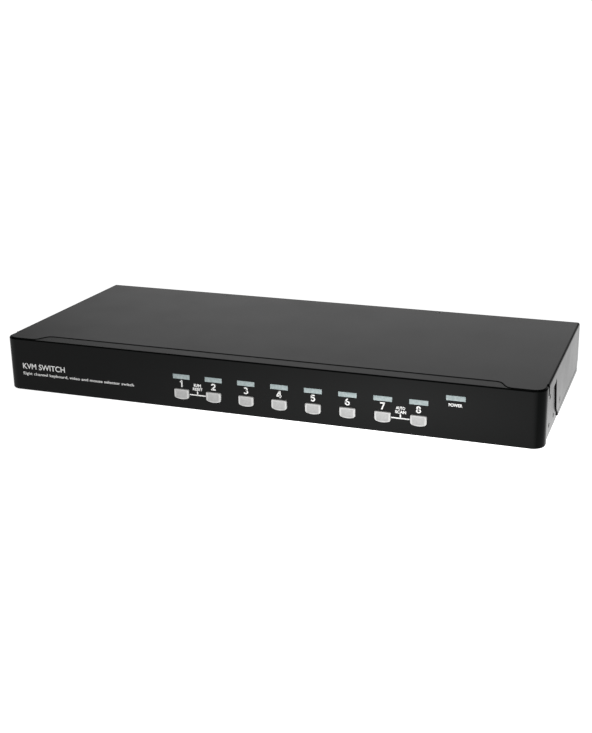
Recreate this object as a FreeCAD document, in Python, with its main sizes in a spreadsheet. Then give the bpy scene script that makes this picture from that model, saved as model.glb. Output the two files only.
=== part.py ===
import FreeCAD, Part
import math
import os
import re

# An eight-channel keyboard, video and mouse switch in a one-unit, 19-inch metal case.
# Frame: origin at the middle of the case's footprint on the surface it rests on, +Z up,
# the control panel facing -Y and the connectors facing +Y. Millimetres.

os.makedirs("parts", exist_ok=True)
doc = FreeCAD.newDocument("kvm_switch")

# ---------------------------------------------------------------- driving dimensions
DIMENSIONS = [
    ("case_width", 438.0, "outside width of the cover"),
    ("case_depth", 180.0, "front of the bezel to the outside of the rear wall"),
    ("case_height", 44.0, "underside of the tray to the top of the cover"),
    ("steel", 1.0, "sheet thickness of the tray and the cover"),
    ("tray_bend", 1.2, "outside radius of the tray's bends"),
    ("cover_bend", 2.0, "outside radius of the cover's bends"),
    ("flange_foot", 6.0, "lower edge of the cover's side flanges"),
    ("bead_gap", 0.5, "gap between a flange and the bead pressed in the tray below it"),
    ("bezel_wall", 2.5, "thickness of the bezel's front wall"),
    ("bezel_corner", 9.5, "outside radius of the bezel's upright corners"),
    ("bezel_inner_corner", 5.0, "inside radius of the bezel's upright corners"),
    ("bezel_return", 12.0, "how far the bezel wraps round the sides"),
    ("bezel_lip", 12.8, "depth of the bezel's top lip"),
    ("bezel_gap", 0.2, "gap between the bezel and the cover"),
    ("front_wall_setback", 8.0, "front of the bezel to the tray's front wall"),
    ("tab_setback", 1.7, "front of the bezel to the cover's corner tabs"),
    ("notch_half_width", 185.0, "half the width of the cover's front notch"),
    ("tab_start", 191.5, "where a corner tab reaches its full length"),
    ("notch_bend", 7.0, "radius of the bends in the notch's two ends"),
    ("flange_start", 17.0, "front of the bezel to the start of the cover's side flange"),
    ("channel_pitch", 27.07, "spacing of the eight channels"),
    ("first_channel", -61.24, "middle of channel 1"),
    ("window_width", 14.3, "width of a status window"),
    ("window_height", 3.9, "height of a status window"),
    ("window_level", 26.06, "middle of the channel windows"),
    ("power_across", 155.4, "middle of the power window"),
    ("power_level", 32.1, "height of the power window's middle"),
    ("button_width", 12.25, "width of a button cap"),
    ("button_height", 8.3, "height of a button cap"),
    ("button_level", 12.05, "middle of the button caps"),
    ("button_proud", 1.0, "how far a cap stands out of the bezel"),
    ("button_gap", 0.25, "gap round a cap in the bezel"),
    ("board", 1.6, "thickness of the circuit boards"),
    ("front_board_setback", 16.0, "front of the bezel to the front board"),
    ("switch_depth", 3.5, "depth of a tactile switch's housing"),
    ("plunger_radius", 1.75, "radius of a tactile switch's plunger"),
    ("plunger_proud", 1.3, "how far a plunger stands out of its housing"),
    ("standoff_length", 7.0, "length of the board spacers"),
    ("port_pitch", 46.0, "spacing of the computer ports"),
    ("first_vga", 135.0, "middle of computer port 1's video connector"),
    ("first_usb", 112.0, "middle of computer port 1's USB connector"),
    ("console_vga", 168.0, "middle of the console video connector"),
    ("console_usb", 194.0, "middle of the console USB connector"),
    ("jack_across", 209.0, "middle of the power jack"),
    ("video_level", 16.1, "height of the video connectors' middle"),
    ("jackscrew_spacing", 25.0, "spacing of a video connector's two jackscrews"),
    ("jackscrew_bore", 1.15, "radius of a jackscrew's threaded hole"),
    ("connector_proud", 5.0, "how far shells and jackscrews stand out of the rear wall"),
    ("ear_hole", 1.65, "radius of the tapped rack-ear holes"),
    ("ear_span_along", 21.7, "spacing of the ear holes from front to back"),
    ("ear_span_up", 21.8, "spacing of the ear holes up the side"),
    ("ear_setback", 38.85, "front of the bezel to the middle of the ear holes"),
    ("ear_level", 19.8, "height of the middle of the ear holes"),
    ("collar_length", 1.2, "length of the collar behind a tapped hole"),
    ("screw_shank", 1.45, "radius of an M3 screw"),
    ("screw_hole", 1.55, "radius of an M3 clearance hole"),
    ("cone_radius", 3.0, "radius of a countersunk head"),
    ("cone_depth", 1.5, "depth of a countersunk head"),
]
CHANNELS = 8

sheet = doc.addObject("Spreadsheet::Sheet", "sizes")
for line, (alias, amount, meaning) in enumerate(DIMENSIONS, start=1):
    sheet.set(f"A{line}", meaning)
    sheet.set(f"B{line}", str(amount))
    sheet.setAlias(f"B{line}", alias)
doc.recompute()
ALIASES = {alias for alias, amount, meaning in DIMENSIONS}


def size(alias):
    """The number in the sheet under an alias."""
    return float(sheet.get(alias))


def formula(text):
    """An expression in which each alias refers to its cell of the sheet."""
    return re.sub(r"[a-z][a-z_]+", lambda word: "sizes." + word.group(0)
                  if word.group(0) in ALIASES else word.group(0), str(text))


FRONT = -size("case_depth") / 2
BACK = size("case_depth") / 2
SIDE = size("case_width") / 2
TOP = size("case_height")
STEEL = size("steel")
ALONG_X = FreeCAD.Rotation(FreeCAD.Vector(0, 1, 0), 90)
ALONG_Y = FreeCAD.Rotation(FreeCAD.Vector(1, 0, 0), -90)
AGAINST_Y = FreeCAD.Rotation(FreeCAD.Vector(1, 0, 0), 90)
UPRIGHT = FreeCAD.Rotation()
DOWNWARD = FreeCAD.Rotation(FreeCAD.Vector(1, 0, 0), 180)


# ---------------------------------------------------------------- ways of making a piece
def place(item, at, turn=UPRIGHT):
    """Bind an object's position to three expressions, with a fixed rotation."""
    item.Placement = FreeCAD.Placement(FreeCAD.Vector(), turn)
    for axis, text in zip("xyz", at):
        item.setExpression(f"Placement.Base.{axis}", formula(text))
    return item


def box(name, corner, sides):
    """A block from its lowest corner, with its three sides as expressions."""
    block = doc.addObject("Part::Box", name)
    for side, text in zip(("Length", "Width", "Height"), sides):
        block.setExpression(side, formula(text))
    return place(block, corner)


def cylinder(name, start, radius, length, turn=UPRIGHT):
    """A rod from the middle of its first end, lying along the turned Z axis."""
    rod = doc.addObject("Part::Cylinder", name)
    rod.setExpression("Radius", formula(radius))
    rod.setExpression("Height", formula(length))
    return place(rod, start, turn)


def cone(name, start, first, second, length, turn=UPRIGHT):
    """A cone with the radii of its first and second ends."""
    taper = doc.addObject("Part::Cone", name)
    taper.setExpression("Radius1", formula(first))
    taper.setExpression("Radius2", formula(second))
    taper.setExpression("Height", formula(length))
    return place(taper, start, turn)


def hexagon(name, start, circumradius, length, turn=UPRIGHT):
    """A six-sided rod."""
    rod = doc.addObject("Part::Prism", name)
    rod.Polygon = 6
    rod.setExpression("Circumradius", formula(circumradius))
    rod.setExpression("Height", formula(length))
    return place(rod, start, turn)


def join(name, members):
    """Several objects fused into one."""
    if len(members) == 1:
        return members[0]
    fused = doc.addObject("Part::MultiFuse", name)
    fused.Shapes = members
    fused.Refine = True
    return fused


def cut(name, base, tools):
    """An object less every tool."""
    remainder = doc.addObject("Part::Cut", name)
    remainder.Base = base
    remainder.Tool = join(name + "_tools", tools)
    return remainder


def group(label, members):
    """Separate solids that share one node."""
    bundle = doc.addObject("Part::Compound", label)
    bundle.Links = members
    return keep(bundle, label)


NODES = []


def keep(item, label):
    """Mark an object as a finished sub-part under the name of its file."""
    item.Label = label
    NODES.append(item)
    return item


def rounded_loop(corners):
    """Lines and tangent arcs of a closed loop through (x, y, radius) corners.

    At a corner the arc touches both runs at radius / tan(half the angle between them), and
    its middle lies on the bisector.
    """
    edges = []
    arcs = []
    points = [FreeCAD.Vector(x, y, 0) for x, y, radius in corners]
    for index, point in enumerate(points):
        before = (points[index - 1] - point).normalize()
        after = (points[(index + 1) % len(points)] - point).normalize()
        radius = corners[index][2]
        if radius == 0:
            arcs.append((point, None, point))
            continue
        half = before.getAngle(after) / 2
        inward = (before + after).normalize()
        reach = radius / math.tan(half)
        middle = point + inward * (radius / math.sin(half) - radius)
        arcs.append((point + before * reach, middle, point + after * reach))
    for index, (start, middle, end) in enumerate(arcs):
        if middle is not None:
            edges.append(Part.Arc(start, middle, end))
        onward = arcs[(index + 1) % len(arcs)][0]
        if end.distanceToPoint(onward) > 1e-6:
            edges.append(Part.LineSegment(end, onward))
    return edges


def rectangle(across, up, width, height, radius=0.0):
    """The four corners of a rectangle from its middle and sides."""
    return [(across - width / 2, up - height / 2, radius),
            (across + width / 2, up - height / 2, radius),
            (across + width / 2, up + height / 2, radius),
            (across - width / 2, up + height / 2, radius)]


def new_body(label):
    """An empty body."""
    body = doc.addObject("PartDesign::Body", label)
    body.Label = label
    return body


def sketch(body, name, role, offset, loops, circles=()):
    """A sketch on one of the body's own planes, moved along its normal by an expression.

    On XZ_Plane the sketch's axes are X and Z and its normal is -Y; on YZ_Plane they are Y and Z
    and the normal is +X; on XY_Plane they are X and Y and the normal is +Z.
    """
    drawing = body.newObject("Sketcher::SketchObject", name)
    plane = [item for item in body.Origin.OriginFeatures if item.Role == role][0]
    drawing.AttachmentSupport = [(plane, "")]
    drawing.MapMode = "FlatFace"
    drawing.setExpression("AttachmentOffset.Base.z", formula(offset))
    for loop in loops:
        drawing.addGeometry(rounded_loop(loop))
    for across, up, radius in circles:
        drawing.addGeometry(Part.Circle(FreeCAD.Vector(across, up, 0), FreeCAD.Vector(0, 0, 1), radius))
    return drawing


def pad(body, drawing, length, backwards=False):
    """Material added from a sketch, along its normal or backwards."""
    feature = body.newObject("PartDesign::Pad", drawing.Name + "_pad")
    feature.Profile = drawing
    feature.Reversed = backwards
    feature.setExpression("Length", formula(length))
    doc.recompute()
    return feature


def pocket(body, drawing, length, backwards=False):
    """Material cut from a sketch, against its normal or backwards; it must cut something."""
    before = body.Shape.Volume
    feature = body.newObject("PartDesign::Pocket", drawing.Name + "_pocket")
    feature.Profile = drawing
    feature.Reversed = backwards
    feature.setExpression("Length", formula(length))
    doc.recompute()
    if body.Shape.Volume > before - 0.01:
        raise RuntimeError(f"{drawing.Name} cuts nothing")
    return feature


def dress(body, kind, amount, test):
    """A fillet or chamfer on the edges of the body's last feature that pass a test."""
    base = body.Tip
    edges = [f"Edge{number}" for number, edge in enumerate(base.Shape.Edges, start=1) if test(edge)]
    feature = body.newObject(f"PartDesign::{kind}", f"{body.Name}_{kind.lower()}")
    feature.Base = (base, edges)
    feature.setExpression("Radius" if kind == "Fillet" else "Size", formula(amount))
    doc.recompute()
    return feature


def near(first, second, margin=0.02):
    """Whether two numbers agree."""
    return abs(first - second) < margin


def channel(number):
    """Where channel number (from 1) is across the panel."""
    return size("first_channel") + (number - 1) * size("channel_pitch")


# ---------------------------------------------------------------- outlines shared by pieces
def front_edge(gap):
    """The front of the cover in plan, from its left to its right, moved outward by a gap.

    The middle is notched back to the bezel's lip. At each end a tab runs forward, and its
    corner is concentric with the bezel's.
    """
    edge = SIDE - size("tab_setback") + gap
    tab = FRONT + size("tab_setback") - gap
    notch = FRONT + size("bezel_lip") - gap
    corner = size("bezel_corner") - size("tab_setback") + gap
    inner = size("notch_half_width") - gap
    outer = size("tab_start") - gap
    bend = size("notch_bend")
    return [(-edge, tab, corner), (-outer, tab, bend), (-inner, notch, bend), (inner, notch, bend),
            (outer, tab, bend), (edge, tab, corner)]


def d_loop(across, up, width, height, corner):
    """A video connector's D: wider at the top, with its sides leaning in by ten degrees."""
    lean = height / 2 * math.tan(math.radians(10))
    return [(across - width / 2 + 2 * lean, up - height / 2, corner),
            (across + width / 2 - 2 * lean, up - height / 2, corner),
            (across + width / 2, up + height / 2, corner),
            (across - width / 2, up + height / 2, corner)]


def button_loop(number, grow):
    """A cap's outline: flat top with small corners, bowed foot with larger ones."""
    across = channel(number)
    up = size("button_level")
    half = size("button_width") / 2 + grow
    head = up + size("button_height") / 2 + grow
    shoulder = up - size("button_height") / 2 + 1.05 - grow
    foot = up - size("button_height") / 2 - 0.34 - grow
    return [(across - half, head, 0.9 + grow), (across - half, shoulder, 2.2 + grow),
            (across, foot, 14.0 + grow), (across + half, shoulder, 2.2 + grow),
            (across + half, head, 0.9 + grow)]


# ---------------------------------------------------------------- places of repeated things
BEZEL_SCREWS = [(across, up) for across in (-205.0, -110.0, 185.0) for up in (9.0, 35.0)]
PANEL_SPACERS = [(-76.0, 8.0), (-76.0, 34.0), (141.0, 36.0), (160.0, 8.0)]
BOARD_SPACERS = [(across, along) for across in (-205.0, 0.0, 205.0) for along in (-24.0, 60.0)]
VIDEO_PORTS = [size("first_vga") - number * size("port_pitch") for number in range(CHANNELS)]
USB_PORTS = [size("first_usb") - number * size("port_pitch") for number in range(CHANNELS)]
ALL_VIDEO = VIDEO_PORTS + [size("console_vga")]
TOP_SCREWS = [-100.0, 100.0]
TOP_SCREW_ALONG = 86.0
SIDE_SCREW_ALONG = -16.0
SIDE_SCREW_UP = 13.0
BOARD_TOP = STEEL + size("standoff_length") + size("board")
VIDEO_UP = size("video_level")
USB_UP = BOARD_TOP + 5.5
STACK_UP = BOARD_TOP + 7.8
JACK_UP = BOARD_TOP + 6.0


def both_sides():
    """The two sides of the case as a name, a sign and the turn of a rod that points inward."""
    return [("right", 1, FreeCAD.Rotation(FreeCAD.Vector(0, 1, 0), -90)), ("left", -1, ALONG_X)]


# ---------------------------------------------------------------- case
def make_tray():
    """A folded tray with four walls, cut open for the controls and the connectors."""
    outer = box("tray_outer", ("-case_width / 2 + steel", "-case_depth / 2 + front_wall_setback", 0),
                ("case_width - 2 * steel", "case_depth - front_wall_setback", "case_height - steel"))
    doc.recompute()
    folded = doc.addObject("Part::Fillet", "tray_folded")
    folded.Base = outer
    bend = size("tray_bend")
    top_level = TOP - STEEL
    folded.Edges = [(number, bend, bend) for number, edge in enumerate(outer.Shape.Edges, start=1)
                    if not near(edge.CenterOfMass.z, top_level)]
    hollow = box("tray_hollow", ("-case_width / 2 + 2 * steel",
                                 "-case_depth / 2 + front_wall_setback + steel", "steel"),
                 ("case_width - 4 * steel", "case_depth - front_wall_setback - 2 * steel",
                  "case_height"))
    shell = cut("tray_shell", folded, [hollow])
    rear_shelf = box("tray_rear_shelf", ("-case_width / 2 + 2 * steel + 1", "case_depth / 2 - 12",
                                         "case_height - 2 * steel"),
                     ("case_width - 4 * steel - 2", "11.5", "steel"))
    extras = [rear_shelf]
    tools = [box("tray_front_step", ("-case_width / 2 + 2 * steel",
                                     "-case_depth / 2 + front_wall_setback - 1", "case_height - 2.7"),
                 ("case_width - 4 * steel", "steel + 2", "4"))]
    for side, sign, inward in both_sides():
        for end in (-1, 1):
            for level in (-1, 1):
                at = (f"{sign} * (case_width / 2 - 2 * steel)",
                      f"-case_depth / 2 + ear_setback + {end} * ear_span_along / 2",
                      f"ear_level + {level} * ear_span_up / 2")
                name = f"ear_{side}_{end + 1}_{level + 1}"
                extras.append(cylinder(name + "_collar", at, "ear_hole + 1.2", "collar_length", inward))
                mouth = (f"{sign} * (case_width / 2 - steel)",) + at[1:]
                tools.append(cylinder(name + "_hole", mouth, "ear_hole", "steel + collar_length + 1",
                                      inward))
                tools.append(cone(name + "_mouth", mouth, "ear_hole + 0.3", "ear_hole", "0.3", inward))
        bead_left = f"{sign} * (case_width / 2 - steel + 0.2) - 0.7"
        extras.append(box(f"bead_{side}", (bead_left, "-case_depth / 2 + 68", "2 * steel"),
                          ("1.4", "case_depth - 70.4", "flange_foot - bead_gap - 2 * steel")))
        lug = (f"{sign} * (case_width / 2)", SIDE_SCREW_ALONG, SIDE_SCREW_UP)
        tools.append(cylinder(f"side_screw_{side}_hole", lug, "screw_hole", "4", inward))
        tools.append(cone(f"side_screw_{side}_seat", lug, "cone_radius + 0.05", "screw_shank + 0.05",
                          "cone_depth", inward))
    for index, across in enumerate(TOP_SCREWS):
        head = (across, TOP_SCREW_ALONG, "case_height")
        tools.append(cylinder(f"top_screw_{index}_hole", head, "screw_hole", "4", DOWNWARD))
        tools.append(cone(f"top_screw_{index}_seat", head, "cone_radius + 0.05", "screw_shank + 0.05",
                          "cone_depth", DOWNWARD))
    wall = "-case_depth / 2 + front_wall_setback - 1"
    tools.append(box("controls_opening", ("first_channel - 9.5", wall, 6.2),
                     (f"{CHANNELS - 1} * channel_pitch + 19", "3", "24")))
    tools.append(box("power_opening", ("power_across - 9", wall, "power_level - 3.5"),
                     ("18", "3", "7")))
    for index, (across, up) in enumerate(BEZEL_SCREWS):
        tools.append(cylinder(f"bezel_screw_{index}_hole", (across, wall, up), "screw_hole", "3",
                              ALONG_Y))
    rear = "case_depth / 2 - steel - 1"
    for index, across in enumerate(ALL_VIDEO):
        opening = new_body(f"video_opening_{index}")
        drawing = sketch(opening, f"video_opening_{index}_sketch", "XZ_Plane",
                         "-case_depth / 2 + steel + 1", [d_loop(across, VIDEO_UP, 17.6, 9.1, 2.9)])
        pad(opening, drawing, "steel + 3", backwards=True)
        tools.append(opening)
        for sign in (-1, 1):
            tools.append(cylinder(f"video_screw_{index}_{sign + 1}",
                                  (f"{across} + {sign} * jackscrew_spacing / 2", rear, VIDEO_UP),
                                  "screw_hole", "3", ALONG_Y))
    for index, across in enumerate(USB_PORTS):
        tools.append(box(f"usb_opening_{index}", (across - 6.2, rear, USB_UP - 5.7),
                         ("12.4", "3", "11.4")))
    tools.append(box("stack_opening", ("console_usb - 6.8", rear, STACK_UP - 8.0), ("13.6", "3", "16")))
    tools.append(box("jack_opening", ("jack_across - 4.7", rear, JACK_UP - 5.7), ("9.4", "3", "11.4")))
    keep(cut("base_tray", join("tray_solid", [shell] + extras), tools), "base_tray")


def make_cover():
    """The top sheet with its notched front and two side flanges, raked where they start."""
    body = new_body("cover_sheet")
    start = FRONT + size("flange_start")
    inset = SIDE - size("tab_setback")
    plan = front_edge(0.0) + [(inset, start, 0.4), (SIDE, start, 0.0), (SIDE, BACK, 0.0),
                              (-SIDE, BACK, 0.0), (-SIDE, start, 0.0), (-inset, start, 0.4)]
    pad(body, sketch(body, "cover_plan", "XY_Plane", "case_height - steel", [plan]), "steel")
    seam_top = FRONT + 51.0
    seam_foot = FRONT + 57.9
    short_edge = 35.0
    low_edge = size("flange_foot")
    under_bend = TOP - 0.5
    flange = [(start, under_bend, 0.0), (start, short_edge, 0.6), (seam_top - 2.1, short_edge, 0.3),
              (seam_top - 2.1, short_edge + 1.8, 0.8), (seam_top - 0.1, short_edge + 1.8, 0.8),
              (seam_foot, 11.4, 3.0), (seam_foot + 6.4, low_edge, 2.6), (BACK - 2.4, low_edge, 1.0),
              (BACK - 2.4, low_edge + 3.8, 0.8), (BACK, low_edge + 4.9, 0.6), (BACK, under_bend, 0.0)]
    for side, offset in (("left", "-case_width / 2"), ("right", "case_width / 2 - steel")):
        drawing = sketch(body, f"cover_flange_{side}", "YZ_Plane", offset, [flange])
        pad(body, drawing, "steel")
    seats = []
    for index, across in enumerate(TOP_SCREWS):
        seats.append(cone(f"cover_seat_{index}", (across, TOP_SCREW_ALONG, "case_height"),
                          "cone_radius + 0.05", "screw_shank + 0.05", "cone_depth", DOWNWARD))
    for side, sign, inward in both_sides():
        seats.append(cone(f"cover_side_seat_{side}", (f"{sign} * case_width / 2", SIDE_SCREW_ALONG,
                                                      SIDE_SCREW_UP), "cone_radius + 0.05",
                          "screw_shank + 0.05", "cone_depth", inward))
        block_left = f"{sign} * (case_width / 2 - cover_bend / 2 + 0.5) - cover_bend / 2 - 0.5"
        block_corner = (block_left, "-case_depth / 2 + flange_start", "case_height - cover_bend")
        block = box(f"bend_block_{side}", block_corner,
                    ("cover_bend + 1", "case_depth - flange_start + 1", "cover_bend + 1"))
        before = "-case_depth / 2 + flange_start - 1"
        bar_start = (f"{sign} * (case_width / 2 - cover_bend)", before, "case_height - cover_bend")
        round_bar = cylinder(f"bend_bar_{side}", bar_start, "cover_bend", "case_depth", ALONG_Y)
        inside_left = f"{sign} * (case_width / 2 - cover_bend - 2) - 2"
        inside = box(f"bend_inside_{side}", (inside_left, before, "case_height - cover_bend - 1"),
                     ("4", "case_depth", "cover_bend + 3"))
        seats.append(cut(f"bend_{side}", block, [round_bar, inside]))
    keep(cut("top_cover", body, seats), "top_cover")


def make_bezel():
    """The moulded front: a wall that wraps both corners, a top lip, and every opening."""
    body = new_body("front_bezel")
    wall = size("bezel_wall")
    corner = size("bezel_corner")
    inner_corner = size("bezel_inner_corner")
    return_end = FRONT + size("bezel_return")
    step = FRONT + size("front_wall_setback") - 0.3
    thin = SIDE - STEEL
    thick = SIDE - wall
    outside = [(-SIDE, return_end, 0.0), (-SIDE, FRONT, corner), (SIDE, FRONT, corner),
               (SIDE, return_end, 0.0)]
    inside = [(thin, return_end, 0.0), (thin, step, 0.0), (thick, step, 0.0),
              (thick, FRONT + wall, inner_corner), (-thick, FRONT + wall, inner_corner),
              (-thick, step, 0.0), (-thin, step, 0.0), (-thin, return_end, 0.0)]
    pad(body, sketch(body, "bezel_walls", "XY_Plane", 0, [outside + inside]), "case_height - steel")
    dress(body, "Fillet", "steel - 0.1", lambda edge: near(edge.BoundBox.ZMax,
                                                           0.0) and edge.BoundBox.YMin < FRONT + 0.1)
    inset = SIDE - 2 * STEEL - 0.3
    edge = SIDE - 1.2
    floor = [(-edge, step, 0.0), (-edge, FRONT + 1, 6.5), (edge, FRONT + 1, 6.5), (edge, step, 0.0)]
    pad(body, sketch(body, "bezel_floor", "XY_Plane", 0, [floor]), "2")
    ledge_end = FRONT + size("bezel_lip") - 0.4
    ledge = [(-inset, FRONT + 1, 3.0), (inset, FRONT + 1, 3.0), (inset, ledge_end, 0.0),
             (-inset, ledge_end, 0.0)]
    pad(body, sketch(body, "bezel_ledge", "XY_Plane", "case_height - 2.4", [ledge]), "2.4 - steel")
    pad(body, sketch(body, "bezel_lip", "XY_Plane", "case_height - steel", [outside]), "steel")
    widen = FRONT + corner + 0.2
    rim = front_edge(size("bezel_gap"))
    room = [(thin, BACK, 0.0), (-thin, BACK, 0.0), (-thin, widen, 0.0), (rim[0][0], widen, 0.0)]
    room += rim + [(rim[-1][0], widen, 0.0), (thin, widen, 0.0)]
    pocket(body, sketch(body, "bezel_cover_room", "XY_Plane", "case_height - steel", [room]), "2",
           backwards=True)
    loops = [button_loop(number, size("button_gap")) for number in range(1, CHANNELS + 1)]
    slot = (size("window_width") + 0.1, size("window_height") + 0.1, 0.2)
    for number in range(1, CHANNELS + 1):
        loops.append(rectangle(channel(number), size("window_level"), *slot))
    loops.append(rectangle(size("power_across"), size("power_level"), *slot))
    pocket(body, sketch(body, "bezel_openings", "XZ_Plane", "case_depth / 2", loops),
           "bezel_wall + 0.5")
    bosses = [(across, up, 3.0) for across, up in BEZEL_SCREWS]
    pad(body, sketch(body, "bezel_bosses", "XZ_Plane", "case_depth / 2 - bezel_wall + 0.5", [], bosses),
        "front_wall_setback - bezel_wall + 0.5", backwards=True)
    pilots = [(across, up, size("screw_hole") - 0.05) for across, up in BEZEL_SCREWS]
    pocket(body, sketch(body, "bezel_pilots", "XZ_Plane", "case_depth / 2 - front_wall_setback", [],
                        pilots), "4.8", backwards=True)
    keep(body, "front_bezel")


# ---------------------------------------------------------------- controls
def make_button(number):
    """A cap with a chamfered face, a flange that keeps it in the bezel, and a stem."""
    body = new_body(f"select_button_{number}")
    name = f"button_{number}"
    face = sketch(body, name + "_face", "XZ_Plane", "case_depth / 2 + button_proud",
                  [button_loop(number, 0.0)])
    pad(body, face, "button_proud + bezel_wall + 0.2", backwards=True)
    dress(body, "Chamfer", "0.45", lambda edge: near(edge.BoundBox.YMax, FRONT - size("button_proud")))
    across = channel(number)
    up = size("button_level")
    flange = sketch(body, name + "_flange", "XZ_Plane", "case_depth / 2 - bezel_wall - 0.2",
                    [rectangle(across, up, size("button_width") + 2.4, size("button_height") + 2.0,
                               1.0)])
    pad(body, flange, "1", backwards=True)
    stem = sketch(body, name + "_stem", "XZ_Plane", "case_depth / 2 - bezel_wall - 1.2",
                  [rectangle(across, up, 4.2, 4.2, 0.5)])
    pad(body, stem, "front_board_setback - switch_depth - plunger_proud - bezel_wall - 1.2",
        backwards=True)
    keep(body, body.Label)
    at = (across, "-case_depth / 2 + front_board_setback - switch_depth - plunger_proud",
          "button_level")
    keep(cylinder(f"switch_plunger_{number}", at, "plunger_radius", "plunger_proud + 0.5", ALONG_Y),
         f"switch_plunger_{number}")


def make_switch_housings():
    """Eight tactile switches on the front board, each with a well for its plunger."""
    housings = []
    front = "-case_depth / 2 + front_board_setback - switch_depth"
    for number in range(1, CHANNELS + 1):
        block = box(f"housing_{number}_block", (channel(number) - 3, front, "button_level - 3"),
                    ("6", "switch_depth", "6"))
        well = cylinder(f"housing_{number}_well", (channel(number), f"{front} - 1", "button_level"),
                        "plunger_radius + 0.15", "2.2", ALONG_Y)
        housings.append(cut(f"housing_{number}", block, [well]))
    group("switch_housings", housings)


def make_window(label, across, level):
    """A clear light guide: a lens that fills its slot, on a flange glued behind the wall."""
    lens = box(label + "_lens", (f"{across} - window_width / 2", "-case_depth / 2 + 0.12",
                                 f"{level} - window_height / 2"),
               ("window_width", "bezel_wall", "window_height"))
    flange = box(label + "_flange", (f"{across} - window_width / 2 - 1", "-case_depth / 2 + bezel_wall",
                                     f"{level} - window_height / 2 - 0.9"),
                 ("window_width + 2", "1", "window_height + 1.8"))
    keep(join(label, [lens, flange]), label)


def make_lights():
    """A three-millimetre light behind each window."""
    lights = []
    places = [(channel(number), "window_level") for number in range(1,
                                                                    CHANNELS + 1)] + [("power_across",
                                                                                       "power_level")]
    for index, (across, level) in enumerate(places):
        at = (across, "-case_depth / 2 + front_board_setback", level)
        dome = doc.addObject("Part::Sphere", f"light_{index}_dome")
        dome.setExpression("Radius", "1.5")
        place(dome, (across, "-case_depth / 2 + front_board_setback - 4.4", level))
        rim = cylinder(f"light_{index}_rim", at, "1.9", "1", AGAINST_Y)
        barrel = cylinder(f"light_{index}_barrel", at, "1.5", "4.4", AGAINST_Y)
        lights.append(join(f"light_{index}", [rim, barrel, dome]))
    group("status_lights", lights)


# ---------------------------------------------------------------- boards
def make_front_board():
    """The upright board that carries the switches and the lights."""
    body = new_body("front_board")
    middle = (size("first_channel") - 20.0 + size("power_across") + 12.0) / 2
    width = size("power_across") - size("first_channel") + 32.0
    drawing = sketch(body, "front_board_outline", "XZ_Plane", "case_depth / 2 - front_board_setback",
                     [rectangle(middle, 21.5, width, 35.0, 1.0)],
                     [(across, up, size("screw_hole")) for across, up in PANEL_SPACERS])
    pad(body, drawing, "board", backwards=True)
    keep(body, "front_board")


def make_main_board():
    """The flat board that carries every rear connector."""
    body = new_body("main_board")
    drawing = sketch(body, "main_board_outline", "XY_Plane", "steel + standoff_length",
                     [rectangle(0.0, (BACK - 1.7 - 32.0) / 2, 2 * SIDE - 8.0, BACK - 1.7 + 32.0, 1.5)],
                     [(across, along, size("screw_hole")) for across, along in BOARD_SPACERS])
    pad(body, drawing, "board")
    keep(body, "main_board")


def make_board_fixings():
    """Like hexagonal spacers under the main board and before the front one, with screws."""
    spacers = []
    screws = []
    wall = "-case_depth / 2 + front_wall_setback + steel"
    places = [((across, along, "steel"), UPRIGHT, (across, along, "steel + standoff_length + board"),
               DOWNWARD) for across, along in BOARD_SPACERS]
    places += [((across, wall, up), ALONG_Y, (across, "-case_depth / 2 + front_board_setback + board",
                                              up), AGAINST_Y) for across, up in PANEL_SPACERS]
    for index, (foot, turn, head, back) in enumerate(places):
        rod = hexagon(f"spacer_{index}_rod", foot, "2.9", "standoff_length", turn)
        thread = cylinder(f"spacer_{index}_bore", foot, "screw_hole", "standoff_length + 0.1", turn)
        spacers.append(cut(f"spacer_{index}", rod, [thread]))
        shank = cylinder(f"board_screw_{index}_shank", head, "screw_shank", "5", back)
        cap = cylinder(f"board_screw_{index}_head", head, "2.75", "1.9", turn)
        screws.append(join(f"board_screw_{index}", [shank, cap]))
    group("board_spacers", spacers)
    group("board_screws", screws)


# ---------------------------------------------------------------- rear connectors
def make_video_shell(label, across):
    """A stamped flange with a D-shaped skirt that stands out of the rear wall."""
    body = new_body(label)
    flange = sketch(body, label + "_flange", "XZ_Plane", "-case_depth / 2 + steel",
                    [rectangle(across, VIDEO_UP, 30.8, 12.5, 1.0)],
                    [(across + sign * size("jackscrew_spacing") / 2, VIDEO_UP,
                      size("screw_hole")) for sign in (-1, 1)])
    pad(body, flange, "0.8")
    skirt = sketch(body, label + "_skirt", "XZ_Plane", "-case_depth / 2 + steel + 0.4",
                   [d_loop(across, VIDEO_UP, 16.9, 8.4, 2.6)])
    pad(body, skirt, "steel + connector_proud + 0.4", backwards=True)
    mouth = sketch(body, label + "_mouth", "XZ_Plane", "-case_depth / 2 - connector_proud",
                   [d_loop(across, VIDEO_UP, 16.1, 7.6, 2.2)])
    pocket(body, mouth, "steel + connector_proud + 3", backwards=True)
    keep(body, label)


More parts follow.
